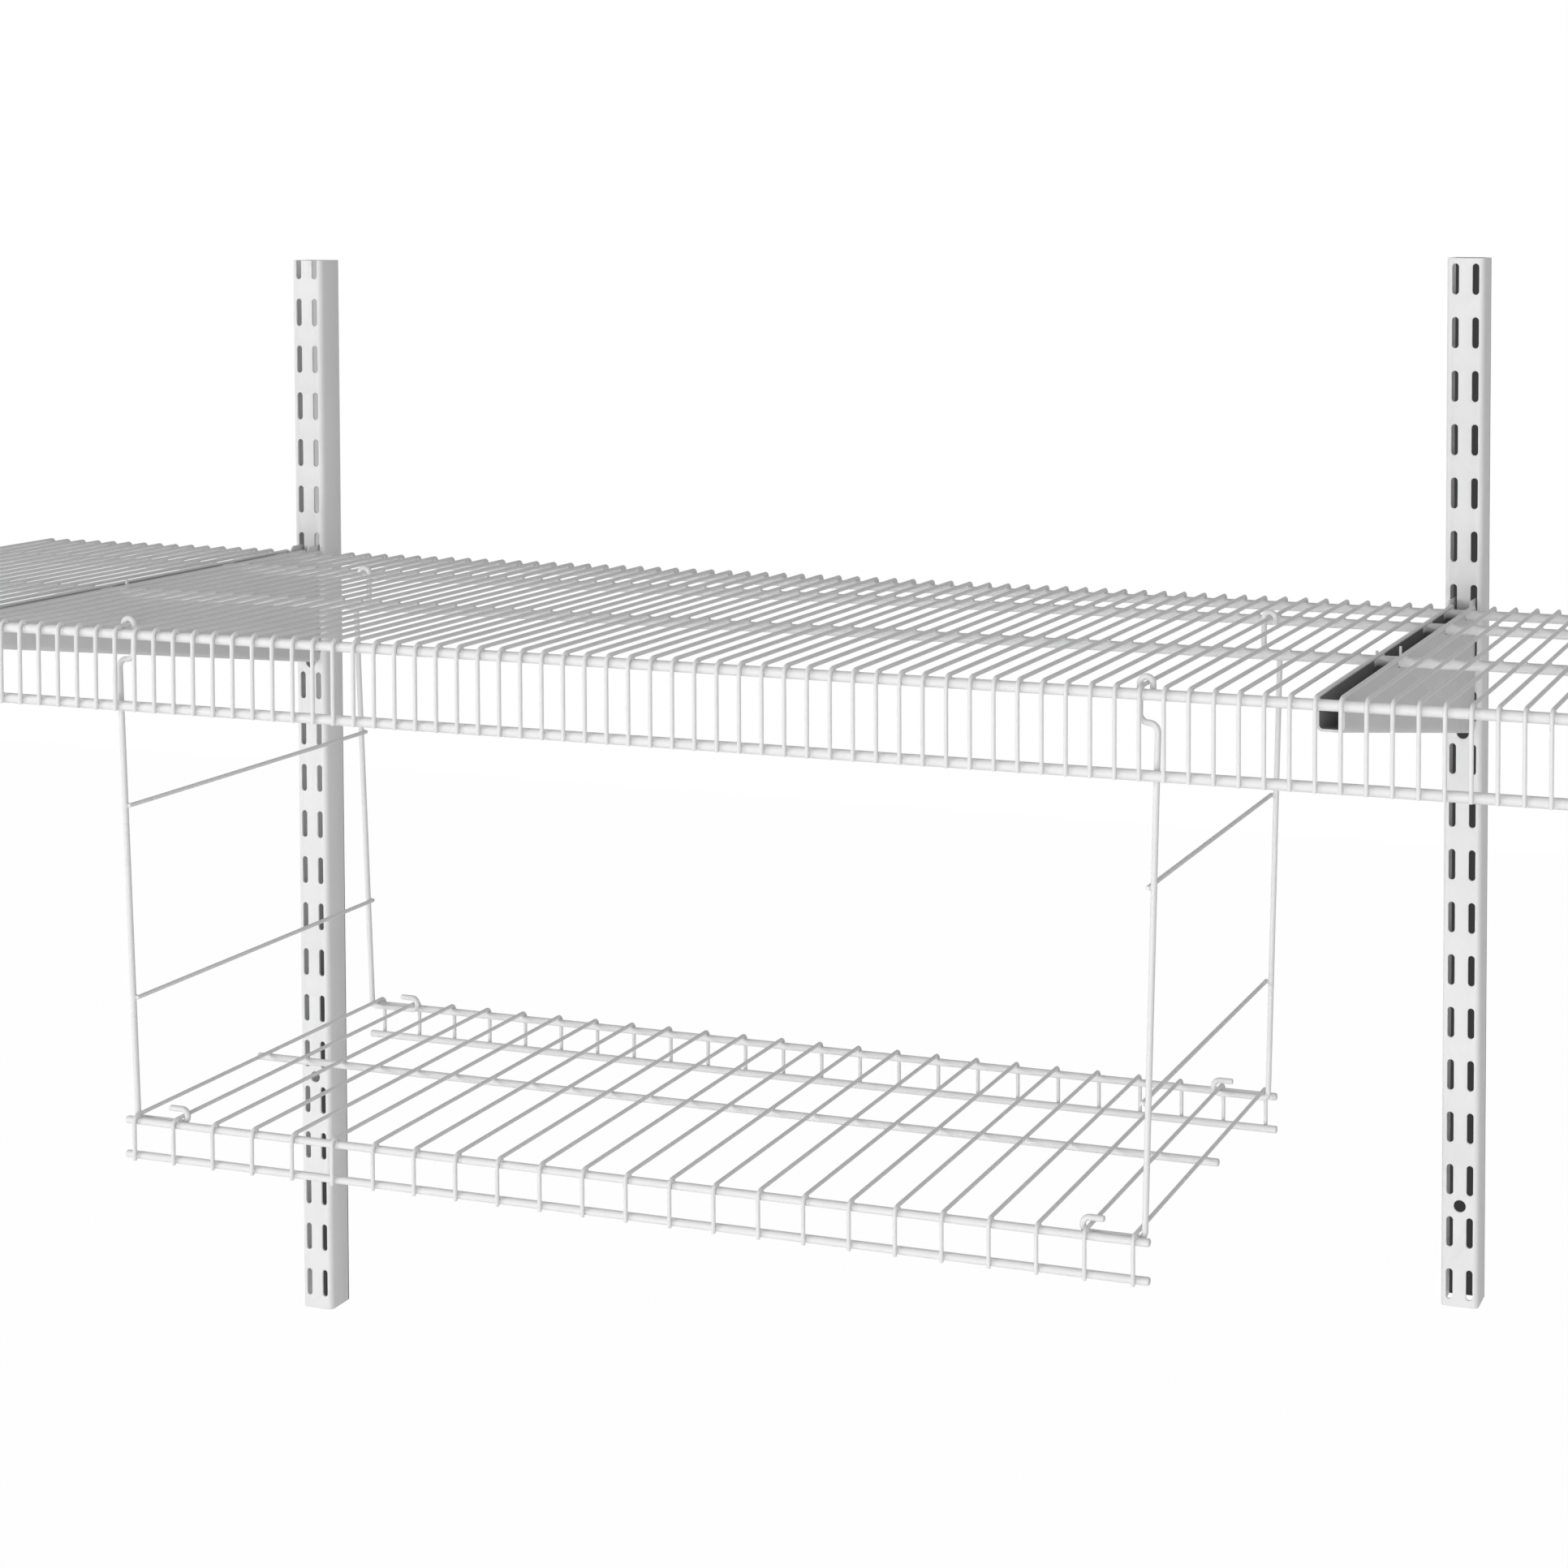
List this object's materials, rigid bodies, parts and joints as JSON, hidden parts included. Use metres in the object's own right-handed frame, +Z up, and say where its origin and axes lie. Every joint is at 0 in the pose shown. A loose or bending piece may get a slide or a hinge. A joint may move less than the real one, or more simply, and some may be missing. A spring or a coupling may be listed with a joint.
{
  "type": "wall mounted closet shelf system",
  "caption": "Wall mounted wire closet shelf on two slotted standards and brackets, with a smaller wire shelf hung below it on wire hangers.",
  "frame": {"origin": "wall edge of the left standard's inner side wall, level with the middle of the upper shelf's rods", "axes": "+X along the shelves towards the right standard, +Y into the wall, +Z up"},
  "size_m": [1.2184, 0.3432, 0.729],
  "materials": {
    "standard": "satin white powder coat",
    "bracket": "satin white powder coat",
    "wire": "satin white vinyl or epoxy coat over steel wire",
    "hanger": "satin white epoxy coat over steel wire"
  },
  "bodies": {
    "standards": {"left_standard": "standard", "right_standard": "standard"},
    "left_bracket": {"left_bracket": "bracket"},
    "right_bracket": {"right_bracket": "bracket"},
    "upper_shelf": {"upper_shelf_mat": "wire", "upper_front_rod": "wire", "upper_mid_rod_front": "wire", "upper_mid_rod_back": "wire", "upper_rear_rod": "wire"},
    "hanging_shelf": {"left_hanger_front_wire": "hanger", "left_hanger_rear_wire": "hanger", "left_hanger_upper_tie": "hanger", "left_hanger_lower_tie": "hanger", "right_hanger_front_wire": "hanger", "right_hanger_rear_wire": "hanger", "right_hanger_upper_tie": "hanger", "right_hanger_lower_tie": "hanger", "lower_deck": "wire", "lower_front_lip": "wire", "lower_rear_lip": "wire", "lower_front_top_rail": "wire", "lower_rear_top_rail": "wire"}
  },
  "joints": [
    {"name": "left_bracket_lift", "type": "slide", "parent": "standards", "child": "left_bracket", "axis": [0, 0, 1], "range_m": [0, 0.0065]},
    {"name": "right_bracket_lift", "type": "slide", "parent": "standards", "child": "right_bracket", "axis": [0, 0, 1], "range_m": [0, 0.0065]},
    {"name": "upper_shelf_lift", "type": "slide", "parent": "left_bracket", "child": "upper_shelf", "axis": [0, 0, 1], "range_m": [0, 0.06]},
    {"name": "hanging_shelf_lift", "type": "slide", "parent": "upper_shelf", "child": "hanging_shelf", "axis": [0, 0, 1], "range_m": [0, 0.012]}
  ],
  "couplings": [
    {"joint": "right_bracket_lift", "follows": "left_bracket_lift", "ratio": 1}
  ]
}
